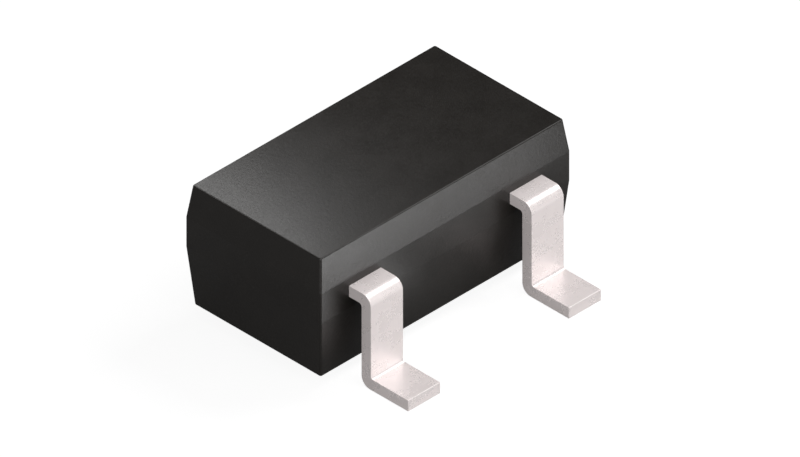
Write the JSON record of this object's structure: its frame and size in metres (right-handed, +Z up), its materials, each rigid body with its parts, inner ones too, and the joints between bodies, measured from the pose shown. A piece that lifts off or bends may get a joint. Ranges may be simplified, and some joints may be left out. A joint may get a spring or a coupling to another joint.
{
  "type": "voltage supervisor ic",
  "caption": "Voltage supervisor chip in a small moulded surface-mount body with gull-wing leads, with its leadframe, die and bond wires inside.",
  "frame": {"origin": "centre of the body's outline on the plane that the feet stand on", "axes": "+X along the body from lead 1 to lead 2, +Y towards lead 3, +Z up to the bare top face"},
  "size_m": [0.003, 0.003, 0.0013],
  "materials": {
    "mould_compound": "fine matt skin of silica-filled black epoxy",
    "tin_plate": "satin tin plate over a stamped copper alloy strip",
    "silicon": "polished chip with a passivated face",
    "die_adhesive": "cured silver-filled epoxy",
    "gold_wire": "bright drawn gold"
  },
  "bodies": {
    "root": {"moulded_body": "mould_compound", "lead_1": "tin_plate", "lead_2": "tin_plate", "lead_3": "tin_plate", "supervisor_die": "silicon", "die_attach": "die_adhesive", "bond_wire_1": "gold_wire", "bond_wire_2": "gold_wire", "bond_wire_3": "gold_wire"}
  },
  "joints": []
}
